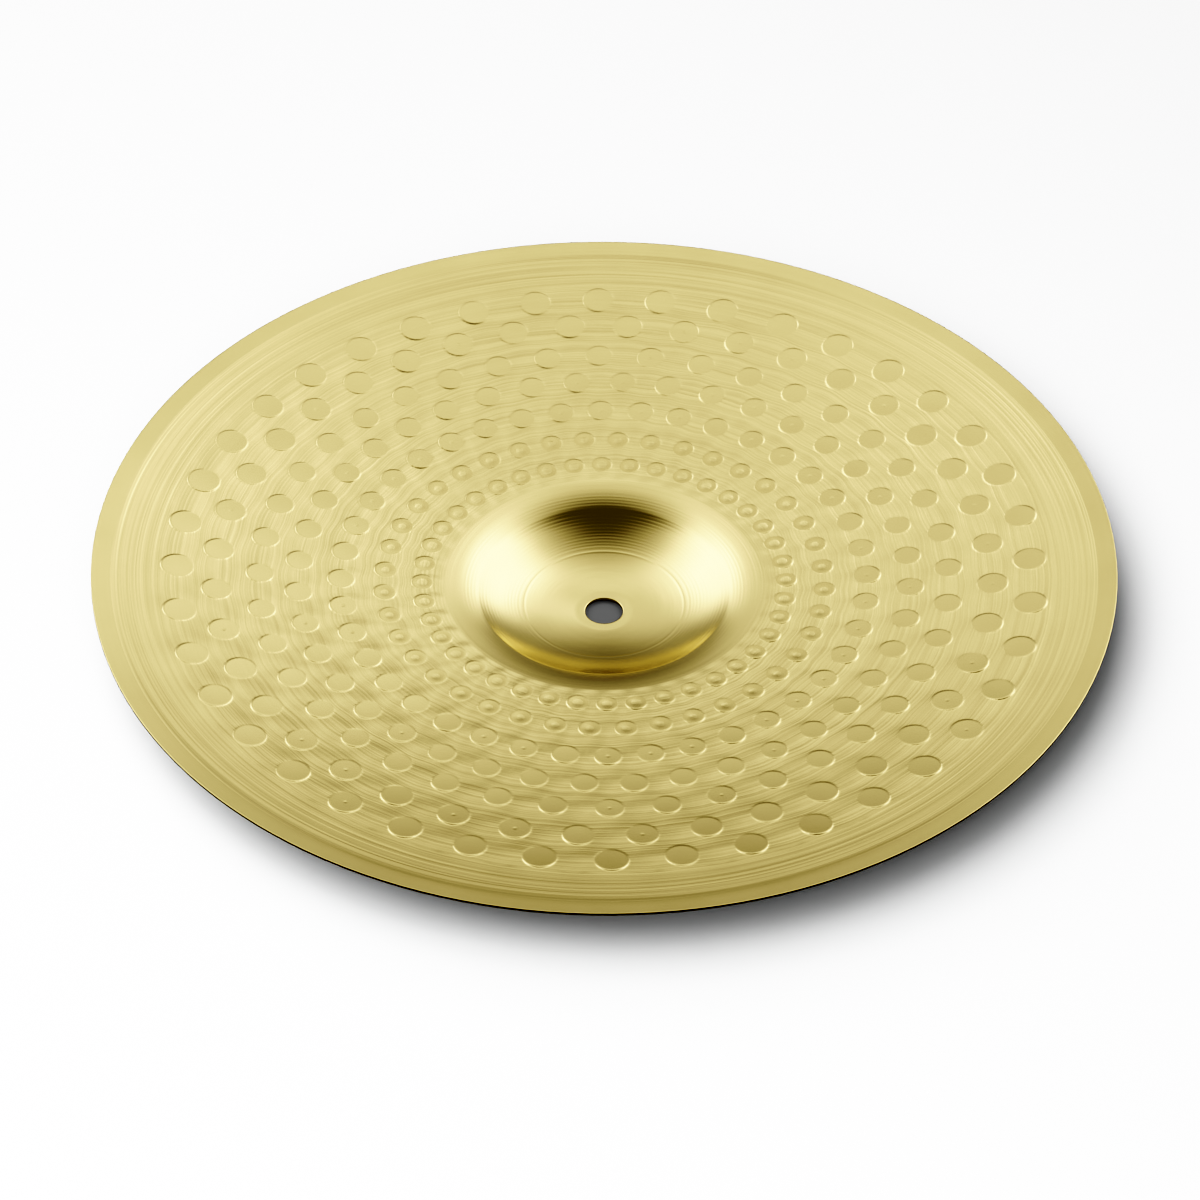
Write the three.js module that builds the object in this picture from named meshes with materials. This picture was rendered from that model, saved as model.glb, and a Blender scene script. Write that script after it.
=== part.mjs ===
// A 14 inch crash cymbal, lying on its bell with the hollow underside facing up.
// It is one disc of spun and lathed sheet bronze, so the model has one mesh.
// Units are millimetres and +Z is up. The origin is the centre of the mounting hole,
// at the outer face of the bell's crown, which is the face that the part rests on.

import * as THREE from 'three';

// Driving dimensions.
const DIAMETER = 355.6;
const HOLE_DIAMETER = 13.2;
const SEAT_DIAMETER = 20.6;        // flat ring round the hole, where the stand's felts press
const CROWN_DIAMETER = 56;         // smooth cap in the middle of the bell
const WALL_START_DIAMETER = 84;
const WALL_END_DIAMETER = 88;
const CREASE_END_DIAMETER = 89.6;  // a tight bend that rings the bell's wall
const BELL_DIAMETER = 118;         // where the bell has faded into the bow
const CROWN_CURVATURE = 107;       // radius of the sphere that the crown is part of
const WALL_SLOPE = 28.5;           // steepest slope of the bell, in degrees
const SHOULDER_SLOPE = 21;         // slope just outside the crease, in degrees
const BOW_START_SLOPE = 3;         // slope of the bow beside the bell, in degrees
const BOW_END_SLOPE = 10.3;        // slope of the bow at the rim, in degrees
const SEAT_THICKNESS = 1.2;
const RIM_THICKNESS = 0.9;
const SEGMENTS = 96;               // facets round the disc

const RIM_RADIUS = DIAMETER / 2;
const SEAT_RADIUS = SEAT_DIAMETER / 2;
const CROWN_RADIUS = CROWN_DIAMETER / 2;

const toRadians = THREE.MathUtils.degToRad;

// The hollow face, from the hole to the rim, as stretches whose slope turns evenly
// along an arc. Each stretch starts at the radius where the one before it ends.
const STRETCHES = [
  // seat
  { end: SEAT_RADIUS, from: 0, to: 0, steps: 1 },
  // crown
  {
    end: CROWN_RADIUS,
    from: Math.asin(SEAT_RADIUS / CROWN_CURVATURE),
    to: Math.asin(CROWN_RADIUS / CROWN_CURVATURE),
    steps: 3,
  },
  // from the crown to the wall
  {
    end: WALL_START_DIAMETER / 2,
    from: Math.asin(CROWN_RADIUS / CROWN_CURVATURE),
    to: toRadians(WALL_SLOPE),
    steps: 3,
  },
  // wall
  {
    end: WALL_END_DIAMETER / 2,
    from: toRadians(WALL_SLOPE),
    to: toRadians(WALL_SLOPE),
    steps: 1,
  },
  // crease
  {
    end: CREASE_END_DIAMETER / 2,
    from: toRadians(WALL_SLOPE),
    to: toRadians(SHOULDER_SLOPE),
    steps: 1,
  },
  // shoulder
  {
    end: BELL_DIAMETER / 2,
    from: toRadians(SHOULDER_SLOPE),
    to: toRadians(BOW_START_SLOPE),
    steps: 4,
  },
  // bow
  {
    end: RIM_RADIUS,
    from: toRadians(BOW_START_SLOPE),
    to: toRadians(BOW_END_SLOPE),
    steps: 5,
  },
];

// Points of one stretch after its start, each with its radius, height and slope.
function stretchPoints(start, stretch) {
  const run = stretch.end - start.radius;
  const turn = Math.sin(stretch.to) - Math.sin(stretch.from);
  const points = [];
  for (let step = 1; step <= stretch.steps; step += 1) {
    const part = step / stretch.steps;
    const slope = Math.asin(Math.sin(stretch.from) + turn * part);
    const straightRise = run * part * Math.tan(stretch.from);
    const arcRise = (run / turn) * (Math.cos(stretch.from) - Math.cos(slope));
    points.push({
      radius: start.radius + run * part,
      height: start.height + (turn === 0 ? straightRise : arcRise),
      slope,
    });
  }
  return points;
}

// The whole hollow face. It starts at the hole, one sheet thickness above the origin.
function hollowFace() {
  const points = [{ radius: HOLE_DIAMETER / 2, height: SEAT_THICKNESS, slope: 0 }];
  for (const stretch of STRETCHES) {
    points.push(...stretchPoints(points[points.length - 1], stretch));
  }
  return points;
}

// The sheet is even at the seat and thins steadily from there to the rim.
function sheetThickness(radius) {
  const part = Math.max(0, (radius - SEAT_RADIUS) / (RIM_RADIUS - SEAT_RADIUS));
  return THREE.MathUtils.lerp(SEAT_THICKNESS, RIM_THICKNESS, part);
}

// Closed section of the sheet: out along the playing face, back along the hollow face.
function section() {
  const hollow = hollowFace();
  const hollowPoints = hollow.map((p) => new THREE.Vector2(p.radius, p.height));
  const playingPoints = hollow.map((p) => {
    const drop = sheetThickness(p.radius) / Math.cos(p.slope);
    return new THREE.Vector2(p.radius, p.height - drop);
  });
  return [...playingPoints, ...hollowPoints.reverse(), playingPoints[0].clone()];
}

const bronze = new THREE.MeshStandardMaterial({
  name: 'lathed_bronze',
  color: 0xd2bd72,
  roughness: 0.32,
  metalness: 1,
});

function makeCymbal() {
  const geometry = new THREE.LatheGeometry(section(), SEGMENTS);
  geometry.rotateX(Math.PI / 2);
  const cymbal = new THREE.Mesh(geometry, bronze);
  cymbal.name = 'cymbal';
  return cymbal;
}

const group = new THREE.Group();
group.add(makeCymbal());

export default group;
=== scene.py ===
# Looks of a 14 inch crash cymbal that lies on its bell with the hollow underside facing up.
# One closed sheet of pressed, hammered and lathed bronze replaces the plain CAD disc.
# Lengths are in metres and angles in radians unless a comment says otherwise. +Z is up.
import math

import bmesh
import bpy
import numpy as np
from mathutils import Matrix, Vector


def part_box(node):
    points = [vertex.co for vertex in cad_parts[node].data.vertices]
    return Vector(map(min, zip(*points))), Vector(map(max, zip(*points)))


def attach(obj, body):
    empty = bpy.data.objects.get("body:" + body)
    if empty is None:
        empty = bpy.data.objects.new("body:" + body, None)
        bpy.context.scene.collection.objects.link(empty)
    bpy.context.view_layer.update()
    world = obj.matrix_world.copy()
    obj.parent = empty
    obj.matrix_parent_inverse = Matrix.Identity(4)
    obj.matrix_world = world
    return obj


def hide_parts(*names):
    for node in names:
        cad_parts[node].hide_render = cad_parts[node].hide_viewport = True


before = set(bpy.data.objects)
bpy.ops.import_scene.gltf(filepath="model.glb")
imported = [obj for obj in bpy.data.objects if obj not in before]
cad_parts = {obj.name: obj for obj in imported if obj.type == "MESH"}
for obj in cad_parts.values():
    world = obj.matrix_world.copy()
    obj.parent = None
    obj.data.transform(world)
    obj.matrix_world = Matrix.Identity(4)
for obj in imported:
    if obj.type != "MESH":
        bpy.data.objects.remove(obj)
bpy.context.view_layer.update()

MM = 0.001
TAU = 2 * math.pi

# ---------------------------------------------------------------- sizes of the disc
_, NODE_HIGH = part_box("cymbal")
RIM_RADIUS = NODE_HIGH.x
RIM_HEIGHT = NODE_HIGH.z
HOLE_RADIUS = 6.6 * MM
SEAT_RADIUS = 10.3 * MM
CROWN_RADIUS = 28.0 * MM
WALL_START = 42.0 * MM
WALL_END = 44.0 * MM
CREASE_END = 44.8 * MM
BELL_RADIUS = 59.0 * MM
CROWN_CURVATURE = 107.0 * MM
WALL_SLOPE = math.radians(28.5)
SHOULDER_SLOPE = math.radians(21)
BOW_START_SLOPE = math.radians(3)
BOW_END_SLOPE = math.radians(10.3)
SEAT_THICKNESS = 1.2 * MM
RIM_THICKNESS = 0.9 * MM
EDGE_DEPTH = 0.3 * MM                # how far the rounding of the hole and rim reaches in
EDGE_STEPS = 6

# Stretches of the hollow face: end radius, slope at the start, slope at the end.
SEAT_EDGE_SLOPE = math.asin(SEAT_RADIUS / CROWN_CURVATURE)
CROWN_EDGE_SLOPE = math.asin(CROWN_RADIUS / CROWN_CURVATURE)
STRETCHES = (
    (SEAT_RADIUS, 0.0, 0.0),
    (CROWN_RADIUS, SEAT_EDGE_SLOPE, CROWN_EDGE_SLOPE),
    (WALL_START, CROWN_EDGE_SLOPE, WALL_SLOPE),
    (WALL_END, WALL_SLOPE, WALL_SLOPE),
    (CREASE_END, WALL_SLOPE, SHOULDER_SLOPE),
    (BELL_RADIUS, SHOULDER_SLOPE, BOW_START_SLOPE),
    (RIM_RADIUS, BOW_START_SLOPE, BOW_END_SLOPE),
)

# Bands of turned grooves: start radius, end radius, pitch, depth.
WALL_GROOVES = (29.6 * MM, 49.4 * MM, 1.18 * MM, 0.024 * MM)
SHOULDER_GROOVES = (50.6 * MM, 56.6 * MM, 1.0 * MM, 0.010 * MM)
RIM_GROOVES = (156.2 * MM, 169.2 * MM, 2.6 * MM, 0.014 * MM)
GROOVE_SPREAD = (0.45, 1.35)         # shares of the depth that a groove may have

# A faint ridge round the crown, and the smooth band along the rim.
RIDGE_HEIGHT = 0.05 * MM
RIDGE_WIDTH = 0.3 * MM
BAND_START = RIM_GROOVES[1]
BAND_STEP = 2.4 * MM                 # width of the step up to the band
BAND_LIFT = 0.08 * MM

# ---------------------------------------------------------------- hammer marks
MARKS_PER_ROW = 40
PITCH = TAU / MARKS_PER_ROW
FIRST_MARK = math.radians(1.07)      # angle of the first mark in every other row
FINE = 8 * MARKS_PER_ROW             # points round the disc among the marks
COARSE = FINE // 2                   # points round the bell and the rim
SIDE_STEPS = 4                       # steps along a cell's radial side

# Each row, in millimetres: radius of its circle of marks, radius of a mark, radius of the
# mark's inner disc. Marks in the inner rows are rings. Others may have a small pip.
ROWS = (
    (63.4, 3.75, 1.65),
    (76.6, 3.90, 1.20),
    (91.7, 4.70, 0.55),
    (106.5, 4.75, 0.45),
    (119.9, 4.85, 0.45),
    (134.8, 5.45, 0.50),
    (148.3, 5.70, 0.45),
)
RING_ROWS = 2
PIP_SHARE = (1.0, 1.0, 0.75, 0.3, 0.15, 0.3, 0.12)   # share of a row's marks with an inner disc
FIRST_CELL_RADIUS = 57.0 * MM
LAST_CELL_RADIUS = 155.4 * MM
MARK_HEIGHT = 0.06 * MM
MARK_CROWN = -0.04 * MM
MARK_LEAN = (0.016, 0.012)           # every mark is higher on its clockwise and outer sides
WALL_WIDTH = 0.44 * MM
RING_RELIEF = 1.3                    # how much stronger the relief is in the ring rows
INNER_DROP = 0.06 * MM
INNER_WALL = 0.35 * MM

# How much the marks differ from each other.
PLACE_SPREAD = 0.10                  # in millimetres
SIZE_SPREAD = 0.012
HEIGHT_SPREAD = (0.85, 1.2)
TILT_SPREAD = 0.006

# The sheet swells along each row. The crest of the swell weaves in and out at each mark.
SWELL_HEIGHT = 0.30 * MM
SWELL_WIDTH = (3.4 * MM, 9.5 * MM)   # between the marks, at a mark
SWELL_REACH = 3                      # in widths, past which the swell counts as nothing
SWELL_SKEW = 0.35                    # how unequal the crests on a mark's two sides are
RING_SWELL = 0.6                     # share of the swell's height in the ring rows
CREST_WAVE = 1.3 * MM
BELL_SWELL_START = 50 * MM           # the swell fades in from here across the bell's edge
BELL_SWELL_FADE = 7 * MM

rng = np.random.default_rng(14)


# ---------------------------------------------------------------- the sheet's shape
def stretch_rise(run, reach, a, b):
    """Rise after going `reach` along a stretch of length `run` that turns from slope a to b."""
    turn = math.sin(b) - math.sin(a)
    if abs(turn) < 1e-9:
        return reach * math.tan(a)
    sine = math.sin(a) + turn * reach / run
    return run / turn * (math.cos(a) - math.sqrt(1 - sine * sine))


def build_stretches():
    """(start radius, end radius, start slope, end slope, start height) of each stretch."""
    rows = []
    radius, height = HOLE_RADIUS, SEAT_THICKNESS
    for end, a, b in STRETCHES:
        rows.append((radius, end, a, b, height))
        height += stretch_rise(end - radius, end - radius, a, b)
        radius = end
    return rows


SECTION = build_stretches()


def slope_at(radius):
    for start, end, a, b, _ in SECTION:
        if radius <= end + 1e-9:
            part = max(0.0, (radius - start) / (end - start))
            return math.asin(math.sin(a) + (math.sin(b) - math.sin(a)) * part)
    return BOW_END_SLOPE


def height_at(radius):
    for start, end, a, b, height in SECTION:
        if radius <= end + 1e-9:
            return height + stretch_rise(end - start, radius - start, a, b)
    return RIM_HEIGHT


def thickness_at(radius):
    """Vertical thickness of the sheet, which thins steadily from the seat to the rim."""
    part = max(0.0, (radius - SEAT_RADIUS) / (RIM_RADIUS - SEAT_RADIUS))
    sheet = SEAT_THICKNESS + (RIM_THICKNESS - SEAT_THICKNESS) * part
    return sheet / math.cos(slope_at(radius))


def smooth(x):
    x = min(1.0, max(0.0, x))
    return x * x * (3 - 2 * x)


def row_phase(index):
    return FIRST_MARK + (index % 2) * PITCH / 2


def swell(radius, angle):
    """Low ridge that the hammering leaves along each row."""
    total = 0.0
    for index, (row, _, _) in enumerate(ROWS):
        turns = MARKS_PER_ROW * (angle - row_phase(index))
        wave = math.sin(turns)
        at_mark = (1 + math.cos(turns)) / 2
        width = SWELL_WIDTH[0] + (SWELL_WIDTH[1] - SWELL_WIDTH[0]) * at_mark
        away = (radius - row * MM - CREST_WAVE * wave) / width
        if abs(away) < SWELL_REACH:
            share = RING_SWELL if index < RING_ROWS else 1.0
            total += SWELL_HEIGHT * (1 - SWELL_SKEW * wave) * share * math.exp(-away * away)
    return total


def cut_grooves(start, end, pitch, depth):
    """A band of turned grooves. Each groove gets its own depth."""
    count = round((end - start) / pitch)
    depths = depth * rng.uniform(*GROOVE_SPREAD, count)
    return start, end, (end - start) / count, depths


GROOVES = [cut_grooves(*band) for band in (WALL_GROOVES, SHOULDER_GROOVES, RIM_GROOVES)]


def groove_relief(radius):
    total = 0.0
    for start, end, pitch, depths in GROOVES:
        if start < radius < end:
            place = (radius - start) / pitch
            total += depths[min(int(place), len(depths) - 1)] * math.sin(TAU * place)
    return total


# ---------------------------------------------------------------- heights of the two faces
def bell_height(radius):
    """Hollow face inside the hammered rows."""
    ridge = RIDGE_HEIGHT * math.exp(-((radius - CROWN_RADIUS) / RIDGE_WIDTH) ** 2)
    fade = smooth((radius - BELL_SWELL_START) / BELL_SWELL_FADE)
    return height_at(radius) + groove_relief(radius) + ridge + swell(radius, 0.0) * fade


def hollow_height(radius, angle):
    """Hollow face among the hammered rows."""
    return height_at(radius) + swell(radius, angle) + groove_relief(radius)


def outer_height(radius, angle):
    """Hollow face outside the hammered rows. The band is a little flatter than the bow."""
    band = smooth((radius - BAND_START) / BAND_STEP) * BAND_LIFT
    band_end = BAND_START + BAND_STEP
    fade = max(0.0, (radius - band_end) / (RIM_RADIUS - band_end))
    plain = height_at(radius) + groove_relief(radius) + band * (1 - fade)
    return plain + swell(radius, angle)


def playing_height(radius, angle):
    return height_at(radius) + swell(radius, angle) - thickness_at(radius)


# ---------------------------------------------------------------- mesh making
# The third kind is a near-black bronze that paints the shade along the rim's edge.
LATHED, PRESSED, PAINTED_SHADE_EDGE, DULL = 0, 1, 2, 3


class Sheet:
    """Collects points and faces. Each face has a material index."""

    def __init__(self):
        self.points = []
        self.faces = []
        self.kinds = []

    def add_point(self, radius, angle, height):
        self.points.append((radius * math.cos(angle), radius * math.sin(angle), height))
        return len(self.points) - 1

    def add_face(self, corners, kind):
        self.faces.append(corners)
        self.kinds.append(kind)

    def ring(self, radius, height, count):
        """A level ring of points."""
        return self.surface_ring(radius, count, lambda _radius, _angle: height)

    def surface_ring(self, radius, count, surface):
        """A ring of points that follows a surface."""
        step = TAU / count
        angles = [FIRST_MARK + k * step for k in range(count)]
        return [self.add_point(radius, a, surface(radius, a)) for a in angles]

    def join_rings(self, a, b, kind):
        """Faces between two rings. One may have twice as many points as the other."""
        if len(a) == len(b):
            for k in range(len(a)):
                n = (k + 1) % len(a)
                self.add_face((a[k], a[n], b[n], b[k]), kind)
            return
        coarse, fine = (a, b) if len(a) < len(b) else (b, a)
        for k in range(len(coarse)):
            n = (k + 1) % len(coarse)
            first, middle, last = 2 * k, 2 * k + 1, (2 * k + 2) % len(fine)
            self.add_face((coarse[k], fine[first], fine[middle]), kind)
            self.add_face((coarse[k], fine[middle], coarse[n]), kind)
            self.add_face((coarse[n], fine[middle], fine[last]), kind)


class Mark:
    """One hammer mark, in its own cell of the disc."""

    def __init__(self, row_index, number):
        row, size, inner = ROWS[row_index]
        self.is_ring = row_index < RING_ROWS
        self.centre_angle = row_phase(row_index) + number * PITCH
        self.row_radius = row * MM + rng.normal(0, PLACE_SPREAD) * MM
        self.size = size * MM * (1 + rng.normal(0, SIZE_SPREAD))
        self.shift = rng.normal(0, PLACE_SPREAD) * MM
        self.depth = RING_RELIEF if self.is_ring else 1.0
        self.rise = MARK_HEIGHT * rng.uniform(*HEIGHT_SPREAD) * self.depth
        self.inner = inner * MM
        self.tilt = rng.normal(0, TILT_SPREAD, 2)
        self.has_inner = self.is_ring or rng.random() < PIP_SHARE[row_index]
        self.level = swell(self.row_radius, self.centre_angle)

    def place(self, across, out):
        """Radius and angle of the point that lies so far across and out from the centre."""
        x = self.row_radius + out
        y = self.shift + across
        return math.hypot(x, y), self.centre_angle + math.atan2(y, x)

    def relief(self, distance, across, out):
        """Height over the plain disc inside the mark, and how much of it counts."""
        edge = (distance - self.size) / WALL_WIDTH
        share = 1 - smooth(edge + 0.5)
        crown = self.depth * MARK_CROWN * (1 - (distance / self.size) ** 2)
        lean = self.depth * ((self.tilt[0] - MARK_LEAN[0]) * across
                             + (self.tilt[1] + MARK_LEAN[1]) * out)
        level = self.level + self.rise + crown + lean
        if self.has_inner:
            level -= INNER_DROP * (1 - smooth((distance - self.inner) / INNER_WALL + 0.5))
        return level, share


def cell_outline(low, high, angle, steps):
    """Points (radius, angle) round a cell, from its inner corner, counterclockwise."""
    left, right = angle - PITCH / 2, angle + PITCH / 2
    points = []
    for k in range(steps):
        points.append((low, left + PITCH * k / steps))
    for k in range(SIDE_STEPS):
        points.append((low + (high - low) * k / SIDE_STEPS, right))
    for k in range(steps):
        points.append((high, right - PITCH * k / steps))
    for k in range(SIDE_STEPS):
        points.append((high - (high - low) * k / SIDE_STEPS, left))
    return points


def circle_directions(steps):
    """Unit directions that match cell_outline: (across, out)."""
    count = 2 * (steps + SIDE_STEPS)
    corner = math.pi * SIDE_STEPS / count
    angles = [math.pi + corner + TAU * k / count for k in range(count)]
    return [(math.cos(a), math.sin(a)) for a in angles]


def mark_point(sheet, mark, distance, direction, surface):
    across, out = direction[0] * distance, direction[1] * distance
    radius, angle = mark.place(across, out)
    outside = surface(radius, angle)
    level, share = mark.relief(distance, across, out)
    plain = outside - swell(radius, angle)
    return sheet.add_point(radius, angle, outside + share * (plain + level - outside))


def halfway_ring(sheet, mark, outline, directions, distance, surface):
    """Points halfway between the cell's outline and a circle round the mark."""
    points = []
    for (radius, angle), (across, out) in zip(outline, directions):
        circle_radius, circle_angle = mark.place(across * distance, out * distance)
        middle_radius = (radius + circle_radius) / 2
        middle_angle = (angle + circle_angle) / 2
        height = surface(middle_radius, middle_angle)
        points.append(sheet.add_point(middle_radius, middle_angle, height))
    return points


def add_cell(sheet, mark, low, high, steps, radii, surface, kind_of):
    """Rings of points from the cell's outline in to the mark's centre."""
    outline = cell_outline(low, high, mark.centre_angle, steps)
    directions = circle_directions(steps)
    rings = [[sheet.add_point(r, a, surface(r, a)) for r, a in outline]]
    rings.append(halfway_ring(sheet, mark, outline, directions, radii[0], surface))
    for distance in radii:
        rings.append([mark_point(sheet, mark, distance, d, surface) for d in directions])
    count = len(outline)
    for outer, inner, distance in zip(rings, rings[1:], [None] + list(radii)):
        kind = kind_of(mark, distance)
        for k in range(count):
            n = (k + 1) % count
            sheet.add_face((outer[k], outer[n], inner[n], inner[k]), kind)
    centre = mark_point(sheet, mark, 0.0, (0.0, 0.0), surface)
    for k in range(count):
        sheet.add_face((rings[-1][k], rings[-1][(k + 1) % count], centre), kind_of(mark, 0.0))


def hollow_kind(mark, distance):
    """Material of the faces whose inner ring is at that distance from the mark's centre.

    The wall round the mark still has the look of the lathed sheet."""
    if distance is None or distance > mark.size - 0.6 * WALL_WIDTH:
        return LATHED
    if not mark.is_ring:
        return PRESSED
    return LATHED if distance < mark.inner - 0.1 * MM else DULL


def playing_kind(mark, distance):
    return LATHED


def hollow_mark_radii(mark):
    """Radii of the rings of points round a mark's centre, from the outside in."""
    size, half = mark.size, WALL_WIDTH / 2
    beside_wall, beside_pip, smallest = 0.5 * MM, 0.35 * MM, 0.12 * MM
    middle = 0.45 * size
    radii = [size + half + beside_wall, size + half, size, size - half,
             size - half - beside_wall]
    if not mark.has_inner:
        return radii + [middle]
    edge = mark.inner + INNER_WALL / 2
    if not mark.is_ring:
        radii.append(edge + beside_pip)
    return radii + [edge, max(mark.inner - INNER_WALL / 2, smallest)]


def playing_mark_radii(mark):
    size, half = mark.size, WALL_WIDTH / 2
    return [size + half, size - half]


def cell_bounds():
    middles = [(a[0] + b[0]) / 2 * MM for a, b in zip(ROWS, ROWS[1:])]
    return [FIRST_CELL_RADIUS] + middles + [LAST_CELL_RADIUS]


def add_cells(sheet, marks, steps, radii_of, surface, kind_of):
    bounds = cell_bounds()
    for index, row in enumerate(marks):
        for mark in row:
            add_cell(sheet, mark, bounds[index], bounds[index + 1], steps,
                     radii_of(mark), surface, kind_of)


def ring_plan(start, end, step):
    """Evenly spaced radii from the start, without the end."""
    count = max(1, round((end - start) / step))
    return [start + (end - start) * k / count for k in range(count)]


def groove_rings(band, per_groove):
    start, end, pitch, _ = band
    return ring_plan(start, end, pitch / per_groove)


def hollow_bell_radii():
    """Radii of the rings of points inside the hammered rows."""
    seat_start, seat_end = HOLE_RADIUS + 1.2 * MM, SEAT_RADIUS - 0.1 * MM
    ridge_steps = (-1.0, -0.6, -0.3, 0.0, 0.3, 0.6, 1.0)
    radii = [HOLE_RADIUS + 0.35 * MM, HOLE_RADIUS + 0.7 * MM]
    radii += ring_plan(seat_start, seat_end, 1.5 * MM)
    radii += [seat_end, SEAT_RADIUS + 0.15 * MM]
    radii += ring_plan(12.0 * MM, 27.0 * MM, 2.2 * MM)
    radii += [CROWN_RADIUS + away * MM for away in ridge_steps]
    radii += groove_rings(WALL_GROOVES, 3)
    radii += ring_plan(WALL_GROOVES[1], SHOULDER_GROOVES[0], 0.6 * MM)
    radii += groove_rings(SHOULDER_GROOVES, 2)
    return radii


def hollow_rim_radii():
    """Radii of the rings of points outside the hammered rows."""
    radii = [LAST_CELL_RADIUS + 0.4 * MM]
    radii += groove_rings(RIM_GROOVES, 5)
    radii += [BAND_START + BAND_STEP * k / 5 for k in range(6)]
    radii += [174.0 * MM, 176.2 * MM]
    radii += [RIM_RADIUS - away * MM for away in (1.0, 0.6, 0.35)]
    return radii


def add_hollow_side(sheet, marks):
    bell = [sheet.ring(r, bell_height(r), COARSE) for r in hollow_bell_radii()]
    for a, b in zip(bell, bell[1:]):
        sheet.join_rings(a, b, LATHED)
    first = sheet.surface_ring(FIRST_CELL_RADIUS, FINE, hollow_height)
    sheet.join_rings(bell[-1], first, LATHED)
    add_cells(sheet, marks, FINE // MARKS_PER_ROW, hollow_mark_radii, hollow_height, hollow_kind)
    last = sheet.surface_ring(LAST_CELL_RADIUS, FINE, hollow_height)
    radii = hollow_rim_radii()
    rim = [sheet.surface_ring(r, COARSE, outer_height) for r in radii]
    sheet.join_rings(last, rim[0], LATHED)
    band_look = BAND_START + 0.7 * BAND_STEP
    for radius, a, b in zip(radii, rim, rim[1:]):
        sheet.join_rings(a, b, PRESSED if radius > band_look else LATHED)
    return bell[0], rim[-1]


def add_playing_side(sheet, marks):
    """The other face: the marks are dents there."""
    radii = [HOLE_RADIUS + 0.4 * MM, SEAT_RADIUS, 14 * MM, 20 * MM, 26 * MM]
    radii += ring_plan(CROWN_RADIUS, 56 * MM, 1.75 * MM) + [56 * MM]
    bell = [sheet.ring(r, height_at(r) - thickness_at(r), COARSE) for r in radii]
    for a, b in zip(bell, bell[1:]):
        sheet.join_rings(a, b, LATHED)
    first = sheet.surface_ring(FIRST_CELL_RADIUS, COARSE, playing_height)
    sheet.join_rings(bell[-1], first, LATHED)
    add_cells(sheet, marks, COARSE // MARKS_PER_ROW, playing_mark_radii, playing_height,
              playing_kind)
    last = sheet.surface_ring(LAST_CELL_RADIUS, COARSE, playing_height)
    radii = [160 * MM, 166 * MM, 172 * MM, 176.4 * MM, RIM_RADIUS - 0.4 * MM]
    outer = [sheet.ring(r, height_at(r) - thickness_at(r), COARSE) for r in radii]
    sheet.join_rings(last, outer[0], LATHED)
    for a, b in zip(outer, outer[1:]):
        sheet.join_rings(a, b, LATHED)
    return bell[0], outer[-1]


def add_edge(sheet, top, bottom, radius, inward, kind):
    """A rounded edge between the two faces, at the hole or at the rim."""
    high = height_at(radius)
    low = high - thickness_at(radius)
    middle, half = (high + low) / 2, (high - low) / 2
    previous = top
    for k in range(1, EDGE_STEPS):
        turn = math.pi * k / EDGE_STEPS
        bulge = math.sqrt(math.sin(turn))
        place = radius + inward * EDGE_DEPTH * (1 - bulge)
        ring = sheet.ring(place, middle + half * math.cos(turn), COARSE)
        sheet.join_rings(previous, ring, LATHED if k == 1 else kind)
        previous = ring
    sheet.join_rings(previous, bottom, kind)


def weld(mesh):
    """Joins the points that neighbouring cells share, and turns every face outwards."""
    work = bmesh.new()
    work.from_mesh(mesh)
    bmesh.ops.remove_doubles(work, verts=work.verts, dist=0.001 * MM)
    bmesh.ops.recalc_face_normals(work, faces=work.faces)
    work.to_mesh(mesh)
    work.free()


def make_cymbal(materials):
    marks = [[Mark(i, n) for n in range(MARKS_PER_ROW)] for i in range(len(ROWS))]
    sheet = Sheet()
    top_hole, top_rim = add_hollow_side(sheet, marks)
    bottom_hole, bottom_rim = add_playing_side(sheet, marks)
    add_edge(sheet, top_hole, bottom_hole, HOLE_RADIUS, 1, LATHED)
    # The rim's edge gets the near-black painted shade. Its first step keeps the lathed look.
    add_edge(sheet, top_rim, bottom_rim, RIM_RADIUS, -1, PAINTED_SHADE_EDGE)
    mesh = bpy.data.meshes.new("cymbal_disc")
    mesh.from_pydata(sheet.points, [], sheet.faces)
    for material in materials:
        mesh.materials.append(material)
    mesh.polygons.foreach_set("material_index", sheet.kinds)
    mesh.polygons.foreach_set("use_smooth", [True] * len(sheet.faces))
    weld(mesh)
    disc = bpy.data.objects.new("cymbal_disc", mesh)
    bpy.context.scene.collection.objects.link(disc)
    return disc


# ---------------------------------------------------------------- node helpers
def node(tree, kind, inputs=None, **settings):
    """A new node. An input is either a value or another node's output, which is linked."""
    made = tree.nodes.new(kind)
    for name, value in settings.items():
        setattr(made, name, value)
    for name, value in (inputs or {}).items():
        if hasattr(value, "is_output"):
            tree.links.new(value, made.inputs[name])
        else:
            made.inputs[name].default_value = value
    return made


def math_node(tree, operation, *values, clamp=False):
    return node(tree, "ShaderNodeMath", dict(enumerate(values)), operation=operation,
                use_clamp=clamp).outputs[0]


def noise(tree, vector, scale, detail, roughness=0.5):
    return node(tree, "ShaderNodeTexNoise", {"Vector": vector, "Scale": scale, "Detail": detail,
                                             "Roughness": roughness}).outputs["Fac"]


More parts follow.
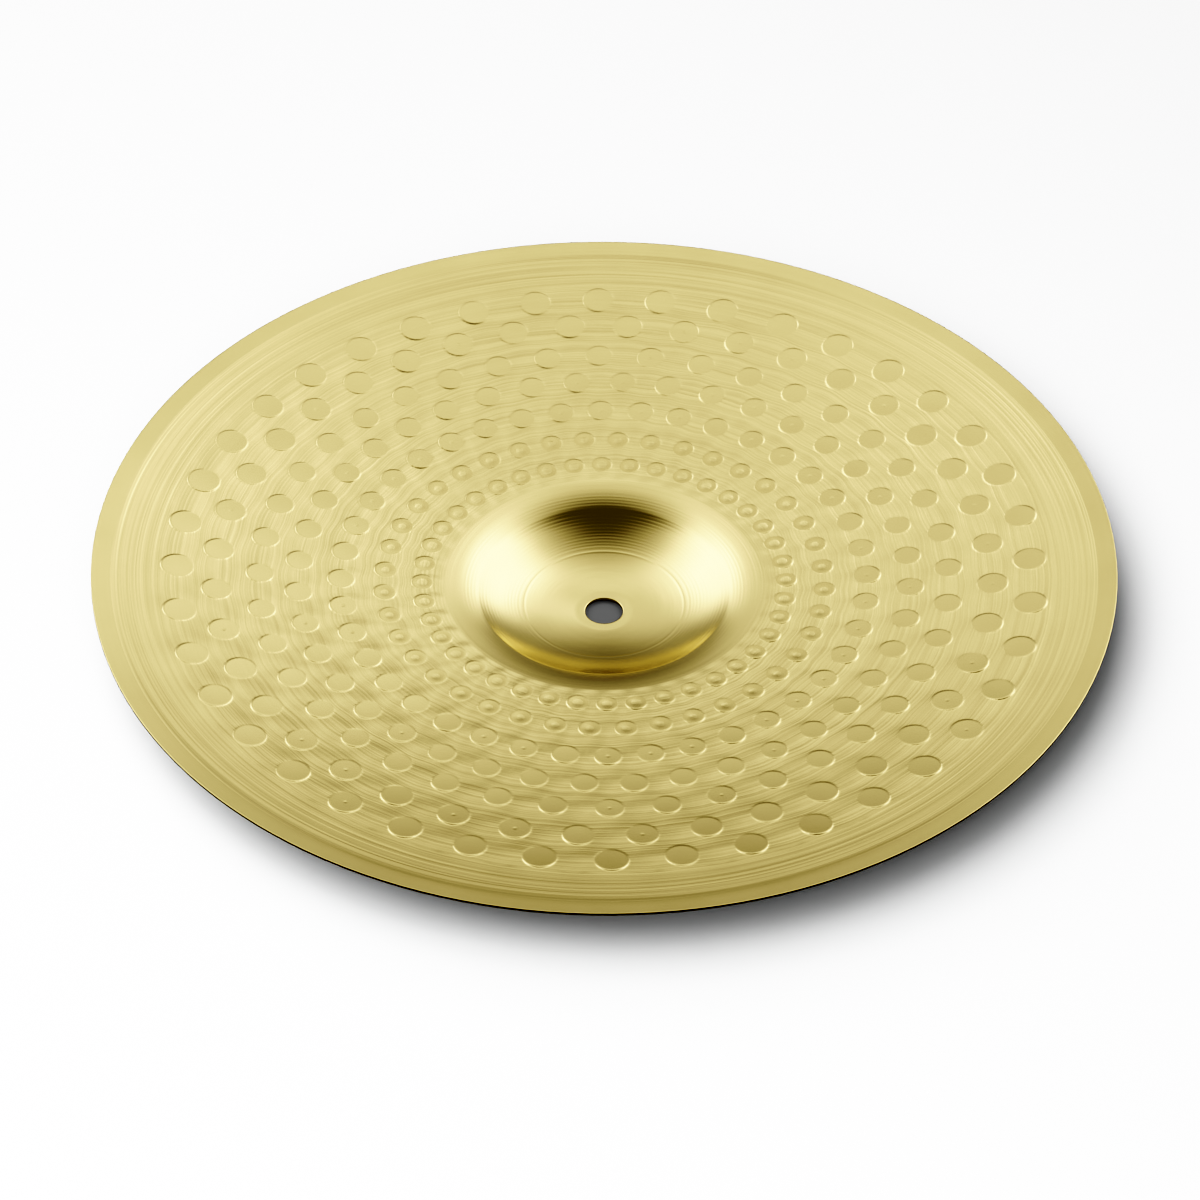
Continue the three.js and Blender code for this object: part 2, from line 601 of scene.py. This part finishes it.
# ---------------------------------------------------------------- bronze
ROW_SPACING = 14.15 * MM             # average distance between the rows of marks
LINE_WAVE = 0.35 * MM                # how far the lathe lines weave between the marks
FINE_LINES = 0.7 * MM                # scales of the lathe lines' noise
BROAD_LINES = 2.6 * MM
LINE_WANDER = 1.2                    # how much the lines change round the disc
LINE_BUMP = 0.09 * MM
BROAD_SHADE, FINE_SHADE = 0.8, 1.7   # how strongly each scale of lines darkens the bow
BROAD_RELIEF = 2.4                   # height of the broad lines, in heights of the fine ones
BELL_LINES = 0.1                     # share of the lines' relief in the bell
FRONT_LINES, SIDE_LINES = 0.6, 0.5   # relief at +Y and -Y, and what +X and -X add to it
ROUGHNESS_SPREAD = 0.08
PATCH_SCALE, PATCH_SHADE = 45.0, 0.5
DARK_SHARE, LIGHT_SHARE = 0.86, 1.05

# Spans of radii, in millimetres, across which something fades in or out.
LINES_START = (53, 60)
WEAVE_START = (58, 64)
WEAVE_END = (150, 157)
BELL_FINISH_END = (55, 64)


def disc_place(tree):
    """A point's place, its distance from the axis, and its direction's sine and cosine."""
    place = node(tree, "ShaderNodeTexCoord").outputs["Object"]
    parts = node(tree, "ShaderNodeSeparateXYZ", {0: place})
    x, y = parts.outputs[0], parts.outputs[1]
    squares = math_node(tree, "ADD", math_node(tree, "MULTIPLY", x, x),
                        math_node(tree, "MULTIPLY", y, y))
    radius = math_node(tree, "SQRT", squares)
    sine = math_node(tree, "DIVIDE", y, radius)
    cosine = math_node(tree, "DIVIDE", x, radius)
    return place, radius, sine, cosine


def ramp(tree, radius, span, low=0.0, high=1.0):
    """Goes from low to high across a span of radii, given in millimetres."""
    return node(tree, "ShaderNodeMapRange",
                {"Value": radius, "From Min": span[0] * MM, "From Max": span[1] * MM,
                 "To Min": low, "To Max": high}).outputs[0]


def wavy_radius(tree, radius, sine, cosine):
    """The lathe lines weave between the hammer marks."""
    angle = math_node(tree, "ARCTAN2", sine, cosine)
    turns = math_node(tree, "MULTIPLY", math_node(tree, "SUBTRACT", angle, FIRST_MARK),
                      float(MARKS_PER_ROW))
    rows = math_node(tree, "MULTIPLY", math_node(tree, "SUBTRACT", radius, ROWS[0][0] * MM),
                     math.pi / ROW_SPACING)
    wave = math_node(tree, "MULTIPLY", math_node(tree, "COSINE", turns),
                     math_node(tree, "SINE", rows))
    among = math_node(tree, "SUBTRACT", ramp(tree, radius, WEAVE_START),
                      ramp(tree, radius, WEAVE_END))
    wave = math_node(tree, "MULTIPLY", wave, among)
    return math_node(tree, "MULTIPLY_ADD", wave, LINE_WAVE, radius)


def ring_noise(tree, radius, sine, cosine, pitch):
    """Noise that changes quickly with the radius and slowly round the disc."""
    vector = node(tree, "ShaderNodeCombineXYZ", {
        0: math_node(tree, "DIVIDE", radius, pitch),
        1: math_node(tree, "MULTIPLY", sine, LINE_WANDER),
        2: math_node(tree, "MULTIPLY", cosine, LINE_WANDER),
    }).outputs[0]
    return noise(tree, vector, 1.0, 1.0, 0.6)


def line_shade(tree, radius, fine, broad):
    """Darkening by the lathe lines, on the bow alone. It is about zero on average."""
    lines = math_node(tree, "MULTIPLY_ADD", broad, BROAD_SHADE,
                      math_node(tree, "MULTIPLY", fine, FINE_SHADE))
    even = math_node(tree, "SUBTRACT", lines, (BROAD_SHADE + FINE_SHADE) / 2)
    return math_node(tree, "MULTIPLY", even, ramp(tree, radius, LINES_START))


def line_bump(tree, radius, cosine, fine, broad, strength):
    """The lathe lines as relief: slight in the bell, strongest at the disc's +X and -X sides."""
    relief = math_node(tree, "MULTIPLY_ADD", broad, BROAD_RELIEF, fine)
    share = math_node(tree, "MULTIPLY_ADD", ramp(tree, radius, LINES_START), 1 - BELL_LINES,
                      BELL_LINES)
    sides = math_node(tree, "MULTIPLY_ADD", math_node(tree, "MULTIPLY", cosine, cosine),
                      SIDE_LINES, FRONT_LINES)
    relief = math_node(tree, "MULTIPLY", relief, math_node(tree, "MULTIPLY", share, sides))
    return node(tree, "ShaderNodeBump", {"Height": relief, "Strength": strength,
                                         "Distance": LINE_BUMP}).outputs[0]


def bronze(name, color, roughness, bell_roughness, anisotropy, line_strength):
    material = bpy.data.materials.new(name)
    material.use_nodes = True
    tree = material.node_tree
    shader = tree.nodes["Principled BSDF"]
    shader.inputs["Metallic"].default_value = 1.0
    shader.inputs["Anisotropic"].default_value = anisotropy
    shader.inputs["Anisotropic Rotation"].default_value = 0.25
    tangent = node(tree, "ShaderNodeTangent", direction_type="RADIAL", axis="Z").outputs[0]
    tree.links.new(tangent, shader.inputs["Tangent"])

    place, radius, sine, cosine = disc_place(tree)
    turned = wavy_radius(tree, radius, sine, cosine)
    fine = ring_noise(tree, turned, sine, cosine, FINE_LINES)
    broad = ring_noise(tree, turned, sine, cosine, BROAD_LINES)

    patches = noise(tree, place, PATCH_SCALE, 3.0)
    shade = math_node(tree, "MULTIPLY", patches, PATCH_SHADE)
    if line_strength:
        lines = line_shade(tree, radius, fine, broad)
        shade = math_node(tree, "ADD", shade, lines, clamp=True)
        bump = line_bump(tree, radius, cosine, fine, broad, line_strength)
        tree.links.new(bump, shader.inputs["Normal"])
    dark = [part * DARK_SHARE for part in color] + [1.0]
    light = [part * LIGHT_SHARE for part in color] + [1.0]
    mixed = node(tree, "ShaderNodeMix", {"Factor": shade, 6: light, 7: dark},
                 data_type="RGBA").outputs[2]
    tree.links.new(mixed, shader.inputs["Base Color"])

    base = ramp(tree, radius, BELL_FINISH_END, bell_roughness, roughness)
    least = math_node(tree, "SUBTRACT", base, ROUGHNESS_SPREAD / 2)
    spread = math_node(tree, "MULTIPLY_ADD", fine, ROUGHNESS_SPREAD, least)
    tree.links.new(spread, shader.inputs["Roughness"])
    return material


def make_bronzes():
    """One material for each of LATHED, PRESSED, PAINTED_SHADE_EDGE and DULL, in that order."""
    return [
        bronze("lathed_bronze", (0.64, 0.557, 0.325), roughness=0.22, bell_roughness=0.14,
               anisotropy=0.75, line_strength=0.8),
        bronze("pressed_bronze", (0.602, 0.524, 0.305), roughness=0.16, bell_roughness=0.13,
               anisotropy=0.75, line_strength=0.0),
        # Near black: painted shade along the rim's edge, not the bronze's own colour.
        bronze("painted_shade_edge_bronze", (0.07, 0.055, 0.03), roughness=0.45, bell_roughness=0.45,
               anisotropy=0.0, line_strength=0.0),
        bronze("dull_bronze", (0.58, 0.503, 0.291), roughness=0.16, bell_roughness=0.16,
               anisotropy=0.75, line_strength=0.0),
    ]


# ---------------------------------------------------------------- studio
CAMERA_DISTANCE = 1.758              # from the middle of the rim
CAMERA_ELEVATION = math.radians(40.75)
CAMERA_ROLL = math.radians(0.282)
CAMERA_LENS = 151.9                  # in millimetres, on a sensor 36 mm wide
CAMERA_SHIFT = (-0.0036, -0.0400)

# The second grey is painted shadow: a disc under the hole stands in for the shade seen through
# it.
FLOOR_GREY, HOLE_SHADOW_GREY = 0.08, 0.34

# Lamps that light the floor alone: name, azimuth and elevation in degrees, power.
FLOOR_LIGHTS = (
    ("left_floor_light", -142, 63, 590),
    ("front_floor_light", -100, 45, 535),
    ("back_floor_light", 140, 50, 200),
)
FLOOR_LIGHT_DIAMETER = 2.24
FLOOR_LIGHT_DISTANCE = 2.4

# A studio sky. Each soft light is (azimuth from +X, elevation, half width, half height, edge,
# radiance), with angles in degrees. A low glow runs all round the horizon.
SKY_BASE = 0.26
SKY_LIGHTS = (
    (90, 48.5, 88, 24, 29, 0.76),
    (90, 57, 80, 6, 14, 0.24),
    (80, 40, 8, 6, 10, 0.28),
    (120, 16, 22, 15, 16, 0.20),
    (60, 16, 22, 15, 16, 0.20),
    (142, 34, 26, 20, 24, 1.25),
    (41, 34, 25, 20, 20, 1.25),
)
HORIZON_HALF_HEIGHT, HORIZON_EDGE, HORIZON_RADIANCE = 18.0, 16.0, 0.06

# How scene light becomes picture brightness: soft in the lights, deep in the darks.
FILM_WHITE = 2.0
FILM_CURVE = ((0.115, 0.002), (0.17, 0.022), (0.25, 0.107), (0.35, 0.25), (0.50, 0.465),
              (0.70, 0.695), (1.0, 0.915), (1.25, 0.98), (1.5, 1.0))


def make_camera():
    """Looks down at the disc from its -Y side."""
    target = Vector((0, 0, RIM_HEIGHT))
    back = Vector((0, -math.cos(CAMERA_ELEVATION), math.sin(CAMERA_ELEVATION)))
    data = bpy.data.cameras.new("camera")
    data.sensor_width = 36
    data.lens = CAMERA_LENS
    data.shift_x, data.shift_y = CAMERA_SHIFT
    data.clip_start, data.clip_end = 0.05, 50
    camera = bpy.data.objects.new("camera", data)
    aim = (-back).to_track_quat("-Z", "Y").to_matrix().to_4x4()
    turn = aim @ Matrix.Rotation(CAMERA_ROLL, 4, "Z")
    camera.matrix_world = Matrix.Translation(target + back * CAMERA_DISTANCE) @ turn
    bpy.context.scene.collection.objects.link(camera)
    bpy.context.scene.camera = camera


def make_matt_disc(name, radius, sides, drop, material_name, grey):
    """A flat grey disc that lies just under the origin."""
    bpy.ops.mesh.primitive_circle_add(vertices=sides, radius=radius, fill_type="NGON",
                                      location=(0, 0, -drop))
    disc = bpy.context.object
    disc.name = name
    material = bpy.data.materials.new(material_name)
    material.use_nodes = True
    shader = material.node_tree.nodes["Principled BSDF"]
    shader.inputs["Base Color"].default_value = (grey, grey, grey, 1)
    shader.inputs["Roughness"].default_value = 0.9
    shader.inputs["Specular IOR Level"].default_value = 0.1
    disc.data.materials.append(material)
    return disc


def make_floor():
    floor = make_matt_disc("floor", radius=6, sides=96, drop=0.3 * MM,
                           material_name="pale_floor", grey=FLOOR_GREY)
    return floor


def make_hole_shadow_disc():
    """A small grey disc under the crown that paints the shadow seen through the hole. Only the
    part under the hole can be seen.
    """
    painted_shadow = make_matt_disc("hole_shadow_disc", radius=12 * MM, sides=48, drop=0.1 * MM,
                         material_name="painted_hole_shadow", grey=HOLE_SHADOW_GREY)


def make_floor_light(floor, name, azimuth, elevation, power):
    """A large lamp that lights the floor alone. Its direction is in degrees."""
    data = bpy.data.lights.new(name, "AREA")
    data.shape = "DISK"
    data.size = FLOOR_LIGHT_DIAMETER
    data.energy = power
    data.cycles.use_multiple_importance_sampling = False
    lamp = bpy.data.objects.new(name, data)
    bpy.context.scene.collection.objects.link(lamp)
    turn, rise = math.radians(azimuth), math.radians(elevation)
    flat = math.cos(rise)
    out = Vector((math.cos(turn) * flat, math.sin(turn) * flat, math.sin(rise)))
    lamp.location = out * FLOOR_LIGHT_DISTANCE
    lamp.rotation_mode = "QUATERNION"
    lamp.rotation_quaternion = out.to_track_quat("Z", "Y")
    lit = bpy.data.collections.new("lit_by_" + name)
    lit.objects.link(floor)
    lamp.light_linking.receiver_collection = lit
    lamp.visible_glossy = False


def set_film():
    view = bpy.context.scene.view_settings
    view.view_transform = "Standard"
    view.use_curve_mapping = True
    mapping = view.curve_mapping
    mapping.white_level = (FILM_WHITE,) * 3
    points = mapping.curves[3].points
    for light, shown in FILM_CURVE:
        points.new(light / FILM_WHITE, shown)
    mapping.update()


def degrees(tree, value):
    return math_node(tree, "MULTIPLY", value, 180 / math.pi)


def edge_fade(tree, value, half, edge):
    """1 up to about half, 0 past it, with a soft edge that is so wide."""
    return node(tree, "ShaderNodeMapRange",
                {"Value": value, "From Min": half + edge / 2, "From Max": half - edge / 2,
                 "To Min": 0.0, "To Max": 1.0}, interpolation_type="SMOOTHSTEP").outputs[0]


def sky_light(tree, azimuth, elevation, spec):
    """A soft-edged box of light in the sky."""
    centre, rise, half_wide, half_high, edge, radiance = spec
    away = math_node(tree, "SUBTRACT", azimuth, centre)
    wrapped = math_node(tree, "ABSOLUTE", math_node(tree, "WRAP", away, 180.0, -180.0))
    across = edge_fade(tree, wrapped, half_wide, edge)
    offset = math_node(tree, "ABSOLUTE", math_node(tree, "SUBTRACT", elevation, rise))
    up = edge_fade(tree, offset, half_high, edge)
    return math_node(tree, "MULTIPLY", math_node(tree, "MULTIPLY", across, up), radiance)


def horizon_glow(tree, elevation):
    height = math_node(tree, "ABSOLUTE", elevation)
    fade = edge_fade(tree, height, HORIZON_HALF_HEIGHT, HORIZON_EDGE)
    return math_node(tree, "MULTIPLY", fade, HORIZON_RADIANCE)


def make_sky():
    world = bpy.data.worlds.new("studio")
    bpy.context.scene.world = world
    world.use_nodes = True
    tree = world.node_tree
    direction = node(tree, "ShaderNodeTexCoord").outputs["Generated"]
    parts = node(tree, "ShaderNodeSeparateXYZ", {0: direction}).outputs
    elevation = degrees(tree, math_node(tree, "ARCSINE", parts[2]))
    azimuth = degrees(tree, math_node(tree, "ARCTAN2", parts[1], parts[0]))
    total = math_node(tree, "ADD", SKY_BASE, horizon_glow(tree, elevation))
    for spec in SKY_LIGHTS:
        total = math_node(tree, "ADD", total, sky_light(tree, azimuth, elevation, spec))
    background = tree.nodes["Background"]
    background.inputs["Color"].default_value = (1, 1, 1, 1)
    tree.links.new(total, background.inputs["Strength"])


# ---------------------------------------------------------------- the scene
set_film()
make_camera()
floor = make_floor()
for light in FLOOR_LIGHTS:
    make_floor_light(floor, *light)
make_hole_shadow_disc()
make_sky()

disc = make_cymbal(make_bronzes())
disc.visible_diffuse = False         # keeps the shadow on the floor a neutral grey
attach(disc, "root")
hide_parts("cymbal")
